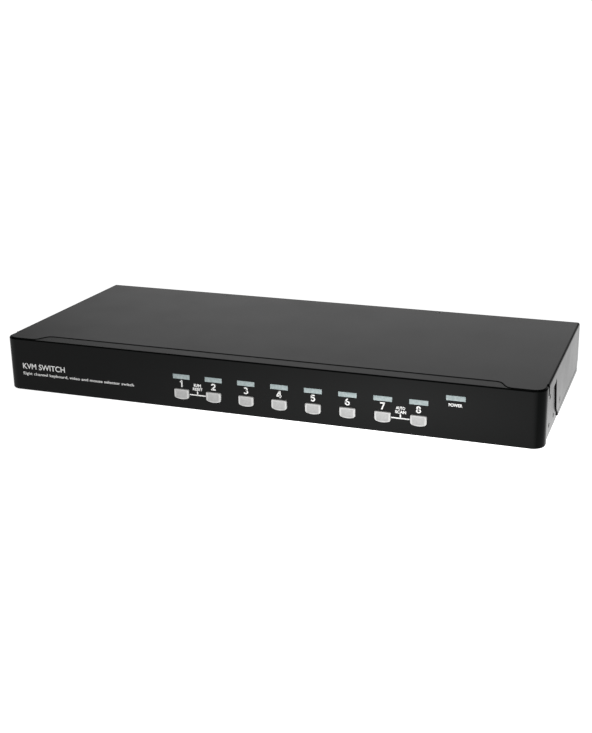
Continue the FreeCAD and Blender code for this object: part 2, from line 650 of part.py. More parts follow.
def make_video_inserts():
    """The moulded cores of the video connectors, each with three rows of five sockets."""
    inserts = []
    for index, across in enumerate(ALL_VIDEO):
        body = new_body(f"video_insert_{index}")
        name = f"video_insert_{index}"
        core = sketch(body, name + "_core", "XZ_Plane", "-case_depth / 2 - connector_proud + 0.6",
                      [d_loop(across, VIDEO_UP, 16.06, 7.56, 2.18)])
        pad(body, core, "connector_proud + steel + 0.2")
        block = sketch(body, name + "_block", "XZ_Plane", "-case_depth / 2 + steel + 0.8",
                       [rectangle(across, VIDEO_UP, 30.4, 12.3, 0.4)],
                       [(across + sign * size("jackscrew_spacing") / 2, VIDEO_UP,
                         size("screw_hole")) for sign in (-1, 1)])
        pad(body, block, "9")
        sockets = [(across + (column - 2) * 2.29 + (0.57 if row == 0 else -0.57), VIDEO_UP + row * 1.98,
                    0.5) for row in (-1, 0, 1) for column in range(5)]
        holes = sketch(body, name + "_sockets", "XZ_Plane", "-case_depth / 2 - connector_proud + 0.6",
                       [], sockets)
        pocket(body, holes, "4", backwards=True)
        inserts.append(body)
    group("video_inserts", inserts)


def make_usb_ports():
    """Square device sockets: a metal shell round a bevelled cavity, with a core inside it."""
    shells = []
    cores = []
    for index, across in enumerate(USB_PORTS):
        name = f"usb_{index}"
        body = new_body(name + "_shell")
        pad(body, sketch(body, name + "_block", "XZ_Plane", "-case_depth / 2 - 0.5",
                         [rectangle(across, USB_UP, 12.0, 11.0, 0.4)]), "16")
        left, right = across - 4.25, across + 4.25
        low, high = USB_UP - 3.9, USB_UP + 3.9
        bevel = 1.7
        cavity = [(left, low, 0.3), (right, low, 0.3), (right, high - bevel, 0.2),
                  (right - bevel, high, 0.2), (left + bevel, high, 0.2), (left, high - bevel, 0.2)]
        pocket(body, sketch(body, name + "_cavity", "XZ_Plane", "-case_depth / 2 - 0.5", [cavity]), "9",
               backwards=True)
        shells.append(body)
        cores.append(box(name + "_core", (across - 2.8, "case_depth / 2 - 8.5", USB_UP - 1.6),
                         ("5.6", "8", "3.2")))
    group("usb_shells", shells)
    group("usb_cores", cores)


def make_console_usb():
    """Two host sockets, one above the other, in one shell, each with its tongue."""
    body = new_body("console_usb_shell")
    across = size("console_usb")
    pad(body, sketch(body, "stack_block", "XZ_Plane", "-case_depth / 2 - 0.8",
                     [rectangle(across, STACK_UP, 13.1, 15.6, 0.5)]), "17.8")
    levels = [STACK_UP - 3.75, STACK_UP + 3.75]
    cavities = [rectangle(across, level, 12.2, 5.1, 0.3) for level in levels]
    pocket(body, sketch(body, "stack_cavities", "XZ_Plane", "-case_depth / 2 - 0.8", cavities), "9.2",
           backwards=True)
    keep(body, "console_usb_shell")
    tongues = [box(f"tongue_{index}", (across - 5.5, "case_depth / 2 - 8.4", level - 0.9 + 0.6),
                   ("11", "8.4", "1.8")) for index, level in enumerate(levels)]
    group("console_usb_tongues", tongues)


def make_power_jack():
    """A barrel jack: a moulded block with a round well and a pin down its middle."""
    block = box("jack_block", ("jack_across - 4.5", "case_depth / 2 - 13.5", JACK_UP - 5.5),
                ("9", "14", "11"))
    well = cylinder("jack_well", ("jack_across", "case_depth / 2 - 8.5", JACK_UP), "3", "10", ALONG_Y)
    keep(cut("power_jack", block, [well]), "power_jack")
    keep(cylinder("power_jack_pin", ("jack_across", "case_depth / 2 - 8.5", JACK_UP), "1.05", "8.5",
                  ALONG_Y), "power_jack_pin")


def make_jackscrews():
    """Hexagonal posts that hold each video connector and take a cable's thumbscrews."""
    posts = []
    for index, across in enumerate(ALL_VIDEO):
        for sign in (-1, 1):
            name = f"jackscrew_{index}_{sign + 1}"
            foot = (f"{across} + {sign} * jackscrew_spacing / 2", "case_depth / 2", VIDEO_UP)
            head = hexagon(name + "_head", foot, "2.74", "connector_proud", ALONG_Y)
            shank = cylinder(name + "_shank", (foot[0], "case_depth / 2 - 5", foot[2]), "screw_shank",
                             "5.5", ALONG_Y)
            bore = cylinder(name + "_bore", foot, "jackscrew_bore", "connector_proud + 0.1", ALONG_Y)
            posts.append(cut(name, join(name + "_solid", [head, shank]), [bore]))
    group("jackscrews", posts)


# ---------------------------------------------------------------- fixings of the case
def countersunk(name, at, turn):
    """A flat-headed screw with a cross cut in its head."""
    head = cone(name + "_head", at, "cone_radius", "screw_shank", "cone_depth", turn)
    shank = cylinder(name + "_shank", at, "screw_shank", "5", turn)
    arms = []
    for index, (width, depth) in enumerate(((3.2, 0.6), (0.6, 3.2))):
        arm = doc.addObject("Part::Box", f"{name}_arm_{index}")
        arm.Length = width
        arm.Width = depth
        arm.Height = 1.6
        middle = turn.multVec(FreeCAD.Vector(-width / 2, -depth / 2, -0.8))
        place(arm, [f"{text} + {shift}" for text, shift in zip(at, middle)], turn)
        arms.append(arm)
    return cut(name, join(name + "_solid", [head, shank]), arms)


def make_case_screws():
    """Four flat-headed screws hold the cover and six round-headed ones hold the bezel."""
    flat = [countersunk(f"top_screw_{index}", (across, TOP_SCREW_ALONG, "case_height"), DOWNWARD)
            for index, across in enumerate(TOP_SCREWS)]
    flat += [countersunk(f"side_screw_{side}", (f"{sign} * case_width / 2", SIDE_SCREW_ALONG,
                                                SIDE_SCREW_UP), inward) for side, sign,
             inward in both_sides()]
    group("cover_screws", flat)
    round_headed = []
    for index, (across, up) in enumerate(BEZEL_SCREWS):
        at = (across, "-case_depth / 2 + front_wall_setback + steel", up)
        head = cylinder(f"bezel_screw_{index}_head", at, "2.8", "2", ALONG_Y)
        shank = cylinder(f"bezel_screw_{index}_shank", at, "screw_shank", "5.4", AGAINST_Y)
        round_headed.append(join(f"bezel_screw_{index}", [head, shank]))
    group("bezel_screws", round_headed)


# ---------------------------------------------------------------- electronics
def make_ribbon():
    """A flat cable from the front board down to the main board, with a header at each end."""
    left = -40.0
    width = 12.7
    front = FRONT + size("front_board_setback") + size("board")
    level = 27.0
    upper = box("header_upper", (left - 2, front, level - 3), (width + 4, "6", "6"))
    lower = box("header_lower", (left - 2, -28.0, BOARD_TOP), (width + 4, "6", "6"))
    group("ribbon_headers", [upper, lower])
    start = front + 6.0
    thick = 0.9
    top = level + thick / 2
    foot = BOARD_TOP + 6.0
    body = new_body("ribbon_cable")
    drop = -41.0
    landing = -31.0
    plug = -25.0
    rest = foot + 3.0
    under = [(start, top - thick, 0.0), (drop, top - thick, 3.0), (landing, rest, 2.0),
             (plug - thick / 2, rest, 1.4), (plug - thick / 2, foot, 0.0)]
    over = [(plug + thick / 2, foot, 0.0), (plug + thick / 2, rest + thick, 2.0),
            (landing + 0.5, rest + thick, 2.0), (drop + 0.5, top, 3.9), (start, top, 0.0)]
    pad(body, sketch(body, "ribbon_profile", "YZ_Plane", left, [under + over]), width)
    keep(body, "ribbon_cable")


def make_chips():
    """A switching chip for each port, the processor, the power parts and the sounder."""
    chips = [box(f"chip_{index}", (across - 4, 44.0, BOARD_TOP), ("8", "10", "1.6")) for index,
             across in enumerate(VIDEO_PORTS)]
    group("switch_chips", chips)
    keep(box("processor_chip", (-20.0, -6.0, BOARD_TOP), ("14", "14", "1.4")), "processor_chip")
    can_places = [(180.0, 40.0, 5.0, 12.0), (168.0, 40.0, 4.0, 11.0), (156.0, 40.0, 4.0, 11.0),
                  (60.0, 0.0, 3.15, 7.0), (-90.0, 0.0, 3.15, 7.0)]
    cans = [cylinder(f"capacitor_{index}", (across, along, BOARD_TOP), radius, height)
            for index, (across, along, radius, height) in enumerate(can_places)]
    group("capacitors", cans)
    sounder = cylinder("buzzer_can", (120.0, 0.0, BOARD_TOP), 6.0, 9.0)
    keep(cut("buzzer", sounder, [cylinder("buzzer_hole", (120.0, 0.0, BOARD_TOP + 7.0), 1.0, 3.0)]),
         "buzzer")
    keep(box("voltage_regulator", (196.0, 30.0, BOARD_TOP), ("10", "9", "4.5")), "voltage_regulator")


# ---------------------------------------------------------------- build, check and write
make_tray()
make_cover()
make_bezel()
for channel_number in range(1, CHANNELS + 1):
    make_button(channel_number)
    make_window(f"channel_window_{channel_number}", channel(channel_number), "window_level")
make_window("power_window", "power_across", "power_level")
make_switch_housings()
make_lights()
make_front_board()
make_main_board()
make_board_fixings()
for port_number, port_across in enumerate(VIDEO_PORTS, start=1):
    make_video_shell(f"video_shell_{port_number}", port_across)
make_video_shell("console_video_shell", size("console_vga"))
make_video_inserts()
make_usb_ports()
make_console_usb()
make_power_jack()
make_jackscrews()
make_case_screws()
make_ribbon()
make_chips()
doc.recompute()

failed = [item.Name for item in doc.Objects if "Invalid" in item.State or "Error" in item.State]
for item in NODES:
    if item.Shape.isNull() or not item.Shape.isValid() or not item.Shape.Solids:
        failed.append(item.Label)
if failed:
    raise RuntimeError("failed: " + ", ".join(failed))
for item in NODES:
    item.Shape.exportStep(f"parts/{item.Label}.step")
print(f"{len(NODES)} nodes, {sum(len(item.Shape.Solids) for item in NODES)} solids")
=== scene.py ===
# A one-unit, rack-width keyboard, video and mouse switch, put together round its frame: the moulded
# front with its printing, the caps and windows, the folded steel case, and the connectors behind.
import math

import bmesh
import bpy
import numpy as np
from mathutils import Matrix, Vector


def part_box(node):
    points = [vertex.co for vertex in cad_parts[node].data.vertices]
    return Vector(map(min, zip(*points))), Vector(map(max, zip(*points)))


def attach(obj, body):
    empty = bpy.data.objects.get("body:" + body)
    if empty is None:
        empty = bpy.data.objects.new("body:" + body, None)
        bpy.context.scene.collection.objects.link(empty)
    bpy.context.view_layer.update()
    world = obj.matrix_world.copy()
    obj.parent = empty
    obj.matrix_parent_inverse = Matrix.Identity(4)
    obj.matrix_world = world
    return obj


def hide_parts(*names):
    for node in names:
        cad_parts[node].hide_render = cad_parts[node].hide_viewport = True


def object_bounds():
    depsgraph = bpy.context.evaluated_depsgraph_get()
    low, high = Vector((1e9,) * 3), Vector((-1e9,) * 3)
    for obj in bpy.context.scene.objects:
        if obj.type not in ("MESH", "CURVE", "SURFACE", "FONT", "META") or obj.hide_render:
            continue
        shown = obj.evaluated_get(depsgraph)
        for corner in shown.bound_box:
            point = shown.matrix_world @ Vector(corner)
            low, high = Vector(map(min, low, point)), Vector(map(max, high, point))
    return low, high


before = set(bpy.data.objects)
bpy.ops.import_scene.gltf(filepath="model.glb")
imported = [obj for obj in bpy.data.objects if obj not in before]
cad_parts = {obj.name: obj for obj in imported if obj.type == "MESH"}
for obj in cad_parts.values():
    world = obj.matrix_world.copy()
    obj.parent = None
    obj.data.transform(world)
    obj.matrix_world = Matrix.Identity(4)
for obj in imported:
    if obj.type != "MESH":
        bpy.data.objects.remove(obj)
cad_box = [list(corner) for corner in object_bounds()]
MM = 0.001


# ---------------------------------------------------------------- camera
# A short telephoto view from above the right of the control panel. The lens is shifted a little,
# so that the case lies a touch left of and above the middle of the frame.
camera_data = bpy.data.cameras.new("camera")
camera_data.sensor_width = 36.0
camera_data.lens = 55.70
camera_data.shift_x = -0.0425
camera_data.shift_y = -0.0254
camera = bpy.data.objects.new("camera", camera_data)
bpy.context.scene.collection.objects.link(camera)
camera_right = Vector((0.94424, 0.32911, -0.00976))
camera_down = Vector((0.09001, -0.28652, -0.95384))
camera_back = camera_right.cross(camera_down) * -1.0
turn = Matrix((camera_right, -camera_down, camera_back)).transposed()
camera.matrix_world = Matrix.Translation(Vector((0.32125, -0.83566, 0.30959))) @ turn.to_4x4()
bpy.context.scene.camera = camera
bpy.context.scene.view_settings.view_transform = "Standard"


# ---------------------------------------------------------------- studio
# A white table, turned up at its far edge, glows, most of all in front of the case at the right. The
# surround is dim, with one broad white screen low behind the case, and a soft lamp stands in front.
def table_material():
    """White diffusing acrylic, lit from below, with a brighter patch round the front right."""
    material = bpy.data.materials.new("glowing_table")
    material.use_nodes = True
    nodes, links = material.node_tree.nodes, material.node_tree.links
    shader = nodes["Principled BSDF"]
    shader.inputs["Roughness"].default_value = 0.9
    shader.inputs["Specular IOR Level"].default_value = 0.1
    shader.inputs["Emission Color"].default_value = (1.0, 1.0, 1.0, 1.0)
    where = nodes.new("ShaderNodeTexCoord")
    patch = nodes.new("ShaderNodeMapping")
    patch.vector_type = "TEXTURE"
    patch.inputs["Location"].default_value = (0.10, -0.17, 0.0)
    patch.inputs["Scale"].default_value = (0.35, 0.30, 1.0)
    glow = nodes.new("ShaderNodeTexGradient")
    glow.gradient_type = "QUADRATIC_SPHERE"
    strength = nodes.new("ShaderNodeMapRange")
    strength.inputs["To Min"].default_value = 1.0
    strength.inputs["To Max"].default_value = 3.2
    cloud = nodes.new("ShaderNodeTexNoise")
    cloud.inputs["Scale"].default_value = 3.0
    tone = nodes.new("ShaderNodeValToRGB")
    tone.color_ramp.elements[0].color = (0.28, 0.28, 0.28, 1.0)
    tone.color_ramp.elements[1].color = (0.32, 0.32, 0.32, 1.0)
    links.new(where.outputs["Object"], patch.inputs["Vector"])
    links.new(patch.outputs["Vector"], glow.inputs["Vector"])
    links.new(glow.outputs["Fac"], strength.inputs["Value"])
    links.new(strength.outputs["Result"], shader.inputs["Emission Strength"])
    links.new(where.outputs["Object"], cloud.inputs["Vector"])
    links.new(cloud.outputs["Fac"], tone.inputs["Fac"])
    links.new(tone.outputs["Color"], shader.inputs["Base Color"])
    return material


reach = 40.0
upturn = 2.0
table_corners = [(-reach, -reach, 0.0), (reach, -reach, 0.0), (reach, reach, 0.0), (-reach, reach, 0.0),
                 (reach, reach, upturn), (-reach, reach, upturn)]
table_mesh = bpy.data.meshes.new("studio_table")
table_mesh.from_pydata(table_corners, [], [(0, 1, 2, 3), (3, 2, 4, 5)])
table_mesh.materials.append(table_material())
table = bpy.data.objects.new("studio_table", table_mesh)
table.location.z = cad_box[0][2] - 0.2 * MM
bpy.context.scene.collection.objects.link(table)


def surround_world():
    """Dim air with a white screen: full strength within 12 degrees of its middle, gone by 30."""
    world = bpy.data.worlds.new("surround")
    world.use_nodes = True
    nodes, links = world.node_tree.nodes, world.node_tree.links
    shader = nodes["Background"]
    shader.inputs["Color"].default_value = (1.0, 1.0, 1.0, 1.0)
    where = nodes.new("ShaderNodeTexCoord")
    toward = nodes.new("ShaderNodeVectorMath")
    toward.operation = "DOT_PRODUCT"
    toward.inputs[1].default_value = Vector((-0.19, 0.93, 0.28)).normalized()
    screen = nodes.new("ShaderNodeMapRange")
    screen.interpolation_type = "SMOOTHSTEP"
    screen.inputs["From Min"].default_value = math.cos(math.radians(30.0))
    screen.inputs["From Max"].default_value = math.cos(math.radians(12.0))
    screen.inputs["To Min"].default_value = 0.14
    screen.inputs["To Max"].default_value = 0.70
    links.new(where.outputs["Generated"], toward.inputs[0])
    links.new(toward.outputs["Value"], screen.inputs["Value"])
    links.new(screen.outputs["Result"], shader.inputs["Strength"])
    return world


bpy.context.scene.world = surround_world()


def lamp(name, place, target, width, depth, watts):
    """A rectangular soft lamp that faces a point."""
    data = bpy.data.lights.new(name, "AREA")
    data.shape = "RECTANGLE"
    data.size = width
    data.size_y = depth
    data.energy = watts
    light = bpy.data.objects.new(name, data)
    light.location = place
    light.rotation_euler = (Vector(target) - Vector(place)).to_track_quat("-Z", "Y").to_euler()
    bpy.context.scene.collection.objects.link(light)


lamp("front_lamp", (0.9, -1.9, 1.1), (0.0, 0.0, 0.0), 2.0, 1.4, 12.0)


# ---------------------------------------------------------------- front bezel
# One black moulding wraps the case's front and both its upright corners. Its lip fills the notch in
# the cover, and the wall is pierced for eight caps and nine windows. Six screws hold it from inside.
def add_object(name, mesh, material, body):
    """A finished mesh as an object of the scene that rides on a body."""
    piece = bpy.data.objects.new(name, mesh)
    bpy.context.scene.collection.objects.link(piece)
    mesh.materials.append(material)
    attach(piece, body)
    return piece


def soften(mesh, angle):
    """Smooth shading that stays sharp across edges steeper than an angle."""
    mesh.shade_smooth()
    mesh.set_sharp_from_angle(angle=math.radians(angle))


def steady_normals(piece):
    """Normals weighted by the size of the faces, so that big flat faces shade evenly."""
    weighted = piece.modifiers.new("flat_faces_win", "WEIGHTED_NORMAL")
    weighted.weight = 100


def ring_mesh(name, rings, closed_path=False):
    """A skin over a stack of closed rings, shape (rings, points, 3).

    Each point joins the next point of its ring and the same point of the next ring. The first and
    last rings are filled, or joined to each other when the path is closed.
    """
    rings = np.asarray(rings, float)
    count, points = rings.shape[:2]
    step = np.arange(points)
    after = (step + 1) % points
    rows = np.arange(count if closed_path else count - 1)[:, None]
    beyond = (rows + 1) % count
    quads = np.stack([rows * points + step, rows * points + after, beyond * points + after,
                      beyond * points + step], -1)
    faces = quads.reshape(-1, 4).tolist()
    if not closed_path:
        faces.append(step[::-1].tolist())
        faces.append(((count - 1) * points + step).tolist())
    mesh = bpy.data.meshes.new(name)
    mesh.from_pydata(rings.reshape(-1, 3).tolist(), [], faces)
    work = bmesh.new()
    work.from_mesh(mesh)
    bmesh.ops.remove_doubles(work, verts=work.verts, dist=1e-7)
    bmesh.ops.recalc_face_normals(work, faces=work.faces)
    work.to_mesh(mesh)
    work.free()
    return mesh


def rounded_outline(corners, steps=8):
    """Points round a closed outline of (x, y, radius) corners, each corner an arc of equal steps.

    An arc's centre lies on the corner's bisector at radius / sin(half angle) from the corner.
    """
    corners = np.asarray(corners, float)
    place = corners[:, :2]
    radius = np.maximum(corners[:, 2], 1e-5)[:, None]
    before = np.roll(place, 1, axis=0) - place
    onward = np.roll(place, -1, axis=0) - place
    before /= np.linalg.norm(before, axis=1)[:, None]
    onward /= np.linalg.norm(onward, axis=1)[:, None]
    bisector = before + onward
    bisector /= np.linalg.norm(bisector, axis=1)[:, None]
    half = np.arccos(np.clip((before * onward).sum(1), -1, 1))[:, None] / 2
    centre = place + bisector * radius / np.sin(half)
    start = place + before * radius / np.tan(half) - centre
    end = place + onward * radius / np.tan(half) - centre
    first = np.arctan2(start[:, 1], start[:, 0])[:, None]
    sweep = np.arctan2(end[:, 1], end[:, 0])[:, None] - first
    sweep = (sweep + math.pi) % (2 * math.pi) - math.pi
    angle = first + sweep * np.linspace(0, 1, steps + 1)[None, :]
    arcs = centre[:, None, :] + radius[:, :, None] * np.stack([np.cos(angle), np.sin(angle)], -1)
    return arcs.reshape(-1, 2)


def middle_of(node):
    """The middle of a node's box, as (x, z)."""
    lower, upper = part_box(node)
    return (lower.x + upper.x) / 2, (lower.z + upper.z) / 2


CHANNELS = np.array([middle_of(f"select_button_{number}") for number in range(1, 9)])
CAP_LEVEL = 12.05 * MM
CAP_WIDTH = 12.25 * MM
CAP_HEIGHT = 8.3 * MM
FRONT = float(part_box("front_bezel")[0].y)
SIDE = float(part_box("top_cover")[1].x)
TOP = float(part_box("top_cover")[1].z)
BACK = float(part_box("top_cover")[1].y)


def cap_outline(across, grow, steps=8):
    """A cap's outline: a flat head with small corners and a bowed foot with larger ones."""
    half = CAP_WIDTH / 2 + grow
    head = CAP_LEVEL + CAP_HEIGHT / 2 + grow
    shoulder = CAP_LEVEL - CAP_HEIGHT / 2 + 1.05 * MM - grow
    foot = CAP_LEVEL - CAP_HEIGHT / 2 - 0.34 * MM - grow
    small, large, bow = 0.9 * MM + grow, 2.2 * MM + grow, 14.0 * MM + grow
    return rounded_outline([(across - half, head, small), (across - half, shoulder, large),
                            (across, foot, bow), (across + half, shoulder, large),
                            (across + half, head, small)], steps)


def window_outline(across, level, grow, steps=6):
    """A window's rectangle with slightly rounded corners."""
    half, rise, radius = 7.15 * MM + grow, 1.95 * MM + grow, max(0.25 * MM + grow, 0.05 * MM)
    return rounded_outline([(across - half, level + rise, radius),
                            (across - half, level - rise, radius),
                            (across + half, level - rise, radius),
                            (across + half, level + rise, radius)], steps)


def upright(outline, depth):
    """An (x, z) outline stood up at a depth y."""
    return np.stack([outline[:, 0], np.full(len(outline), depth), outline[:, 1]], -1)


def cutter(name, outline_at, flare):
    """A closed tool that pierces the wall and opens out at its face by a quarter circle.

    At depth d behind the face the tool is wider by flare - sqrt(flare^2 - (flare - d)^2).
    """
    turns = np.linspace(0, math.pi / 2, 5)
    rings = [upright(outline_at(flare), FRONT - 1.0 * MM)]
    for angle in turns:
        rings.append(upright(outline_at(flare * (1 - math.sin(angle))),
                             FRONT + flare * (1 - math.cos(angle))))
    rings.append(upright(outline_at(0.0), FRONT + 4.0 * MM))
    mesh = ring_mesh(name, rings)
    tool = bpy.data.objects.new(name, mesh)
    bpy.context.scene.collection.objects.link(tool)
    return tool


LIP = 12.8 * MM
TAB = 1.7 * MM
SEAM = 0.45 * MM
LIP_STEP = 0.4 * MM
NOTCH = 185.0 * MM
TAB_START = 191.5 * MM
NOTCH_BEND = 7.0 * MM
CORNER = 9.5 * MM
WALL = 2.5 * MM
WING = 12.0 * MM
THIN_FROM = 7.2 * MM
THIN = 1.0 * MM
THIN_LIP = 1.3 * MM
SHELF = 7.7 * MM
SHELF_BACK = 7.8 * MM
FLOOR = 2.0 * MM
LIP_ROOT = 2.4 * MM
SOFT, CRISP = 1.3 * MM, 1.1 * MM
BROW = 0.18 * MM


def lip_width(across):
    """How far the lip reaches back at each x: the notch's depth, stepping down at its two jogs.

    The jog's line and its two arcs are sampled as one outline and read off at x.
    """
    jog = rounded_outline([(-1.0, LIP - SEAM, 0.0), (NOTCH - SEAM, LIP - SEAM, NOTCH_BEND),
                           (TAB_START - SEAM, TAB - SEAM, NOTCH_BEND), (1.0, TAB - SEAM, 0.0)], 10)
    jog = jog[np.argsort(jog[:, 0], kind="stable")]
    keep = (jog[:, 0] > 0.1) & (jog[:, 0] < 0.3)
    return np.interp(np.abs(across), jog[keep, 0], jog[keep, 1], left=LIP - SEAM, right=TAB - SEAM)


def bezel_mesh():
    """The moulding as a section carried round the case's front in plan.

    The path runs up one side, round an upright corner, along the front and back down the other
    side; the section's points are (distance inward, height), and the lip's width follows x.
    """
    arc = np.linspace(0, math.pi / 2, 25)
    side_y = np.linspace(FRONT + WING, FRONT + CORNER, 4)[:-1]
    left_side = np.stack([np.full(3, -SIDE), side_y, np.full(3, -1.0), np.zeros(3)], -1)
    left_turn = np.stack([-SIDE + CORNER - CORNER * np.cos(arc), FRONT + CORNER - CORNER * np.sin(arc),
                          -np.cos(arc), -np.sin(arc)], -1)
    jogs = np.linspace(NOTCH - 3.5 * MM, TAB_START + 3.5 * MM, 29)
    middle = np.concatenate([-jogs[::-1], np.linspace(-NOTCH + 6.0 * MM, NOTCH - 6.0 * MM, 9), jogs])
    front = np.stack([middle, np.full(len(middle), FRONT), np.zeros(len(middle)),
                      np.full(len(middle), -1.0)], -1)
    half = np.concatenate([left_side, left_turn])
    mirrored = half[::-1] * np.array([-1.0, 1.0, -1.0, 1.0])
    path = np.concatenate([half, front, mirrored])
    lip = lip_width(path[:, 0])
    behind = path[:, 1] > FRONT + THIN_FROM
    wall = np.where(behind, THIN, WALL)
    lip = np.where(behind, THIN_LIP, lip)
    shelf = np.where(behind, THIN, SHELF)
    crown = TOP - LIP_STEP
    quarter = np.linspace(0, math.pi / 2, 7)
    ones = np.ones(len(path))
    section = [(shelf, 0.0 * ones)]
    section += [((SOFT - SOFT * math.sin(t)) * ones, (SOFT - SOFT * math.cos(t)) * ones)
                for t in quarter]
    section += [(0.0 * ones, level * ones) for level in (15 * MM, 30 * MM)]
    section += [((CRISP - CRISP * math.cos(t)) * ones,
                 (crown - CRISP + CRISP * math.sin(t)) * ones) for t in quarter]
    under = np.maximum(lip, wall)
    section += [(lip - BROW, crown * ones), (lip - 0.3 * BROW, (crown - 0.3 * BROW) * ones),
                (lip, (crown - BROW) * ones), (lip, (TOP - THIN) * ones),
                (under, (TOP - THIN) * ones), (under, (TOP - LIP_ROOT) * ones),
                (wall, (TOP - LIP_ROOT) * ones), (wall, FLOOR * ones), (shelf, FLOOR * ones)]
    inward = np.stack([depth for depth, level in section], 1)
    height = np.stack([level for depth, level in section], 1)
    across = path[:, 0, None] - path[:, 2, None] * inward
    along = path[:, 1, None] - path[:, 3, None] * inward
    floor_part = (inward > WALL + 0.01 * MM) & (height < FLOOR + 1.0 * MM)
    along = np.where(floor_part, np.minimum(along, FRONT + SHELF_BACK), along)
    return ring_mesh("front_bezel_moulding", np.stack([across, along, height], -1))


def noise_group():
    """Fine grain: two layers of noise in the piece's own coordinates, with a height and a mask."""
    group = bpy.data.node_groups.new("fine_grain", "ShaderNodeTree")
    group.interface.new_socket("Vector", in_out="INPUT", socket_type="NodeSocketVector")
    group.interface.new_socket("Grain size", in_out="INPUT", socket_type="NodeSocketFloat")
    group.interface.new_socket("Patch size", in_out="INPUT", socket_type="NodeSocketFloat")
    group.interface.new_socket("Height", in_out="OUTPUT", socket_type="NodeSocketFloat")
    group.interface.new_socket("Patches", in_out="OUTPUT", socket_type="NodeSocketFloat")
    nodes, links = group.nodes, group.links
    given = nodes.new("NodeGroupInput")
    result = nodes.new("NodeGroupOutput")
    for output, size, detail, rough in (("Height", "Grain size", 3.0, 0.6),
                                        ("Patches", "Patch size", 5.0, 0.55)):
        scale = nodes.new("ShaderNodeMath")
        scale.operation = "DIVIDE"
        scale.inputs[0].default_value = 1.0
        links.new(given.outputs[size], scale.inputs[1])
        texture = nodes.new("ShaderNodeTexNoise")
        texture.inputs["Detail"].default_value = detail
        texture.inputs["Roughness"].default_value = rough
        links.new(given.outputs["Vector"], texture.inputs["Vector"])
        links.new(scale.outputs[0], texture.inputs["Scale"])
        links.new(texture.outputs["Fac"], result.inputs[output])
    return group


FINE_GRAIN = noise_group()


def wear_group():
    """Edge wear: a mask that is one where the rounded normal leaves the face's own."""
    group = bpy.data.node_groups.new("edge_wear", "ShaderNodeTree")
    group.interface.new_socket("Radius", in_out="INPUT", socket_type="NodeSocketFloat")
    group.interface.new_socket("Breakup", in_out="INPUT", socket_type="NodeSocketFloat")
    group.interface.new_socket("Mask", in_out="OUTPUT", socket_type="NodeSocketFloat")
    nodes, links = group.nodes, group.links
    given = nodes.new("NodeGroupInput")
    result = nodes.new("NodeGroupOutput")
    rounded = nodes.new("ShaderNodeBevel")
    rounded.samples = 4
    surface = nodes.new("ShaderNodeNewGeometry")
    agree = nodes.new("ShaderNodeVectorMath")
    agree.operation = "DOT_PRODUCT"
    spread = nodes.new("ShaderNodeMapRange")
    spread.inputs["From Min"].default_value = 0.995
    spread.inputs["From Max"].default_value = 0.90
    times = nodes.new("ShaderNodeMath")
    times.operation = "MULTIPLY"
    links.new(given.outputs["Radius"], rounded.inputs["Radius"])
    links.new(rounded.outputs["Normal"], agree.inputs[0])
    links.new(surface.outputs["True Normal"], agree.inputs[1])
    links.new(agree.outputs["Value"], spread.inputs["Value"])
    links.new(spread.outputs["Result"], times.inputs[0])
    links.new(given.outputs["Breakup"], times.inputs[1])
    links.new(times.outputs[0], result.inputs["Mask"])
    return group


EDGE_WEAR = wear_group()


def turned_group():
    """Rounded edges and bends: a mask that rises where the normal leaves all three axes."""
    group = bpy.data.node_groups.new("turned_edges", "ShaderNodeTree")
    group.interface.new_socket("Normal", in_out="INPUT", socket_type="NodeSocketVector")
    group.interface.new_socket("Mask", in_out="OUTPUT", socket_type="NodeSocketFloat")
    nodes, links = group.nodes, group.links
    given = nodes.new("NodeGroupInput")
    result = nodes.new("NodeGroupOutput")
    size = nodes.new("ShaderNodeVectorMath")
    size.operation = "ABSOLUTE"
    parts = nodes.new("ShaderNodeSeparateXYZ")
    larger, largest = nodes.new("ShaderNodeMath"), nodes.new("ShaderNodeMath")
    larger.operation = largest.operation = "MAXIMUM"
    spread = nodes.new("ShaderNodeMapRange")
    spread.inputs["From Min"].default_value = 0.995
    spread.inputs["From Max"].default_value = 0.90
    links.new(given.outputs["Normal"], size.inputs[0])
    links.new(size.outputs["Vector"], parts.inputs["Vector"])
    links.new(parts.outputs["X"], larger.inputs[0])
    links.new(parts.outputs["Y"], larger.inputs[1])
    links.new(larger.outputs[0], largest.inputs[0])
    links.new(parts.outputs["Z"], largest.inputs[1])
    links.new(largest.outputs[0], spread.inputs["Value"])
    links.new(spread.outputs["Result"], result.inputs["Mask"])
    return group


TURNED_EDGES = turned_group()


def add_group(nodes, group, **values):
    """A shared effect placed in a material with its own values."""
    node = nodes.new("ShaderNodeGroup")
    node.node_tree = group
    for name, value in values.items():
        node.inputs[name.replace("_", " ")].default_value = value
    return node


def blend_colour(nodes, links, factor, first, second):
    """A mix of two colours by a mask; a colour may be a socket or a tuple."""
    mix = nodes.new("ShaderNodeMix")
    mix.data_type = "RGBA"
    links.new(factor, mix.inputs["Factor"])
    for socket, colour in ((mix.inputs[6], first), (mix.inputs[7], second)):
        if isinstance(colour, tuple):
            socket.default_value = (*colour, 1.0)
        else:
            links.new(colour, socket)
    return mix.outputs[2]


def spread_value(nodes, links, value, low_end, high_end):
    """A noise value mapped to a range."""
    node = nodes.new("ShaderNodeMapRange")
    node.inputs["From Min"].default_value = 0.3
    node.inputs["From Max"].default_value = 0.7
    node.inputs["To Min"].default_value = low_end
    node.inputs["To Max"].default_value = high_end
    links.new(value, node.inputs["Value"])
    return node.outputs["Result"]


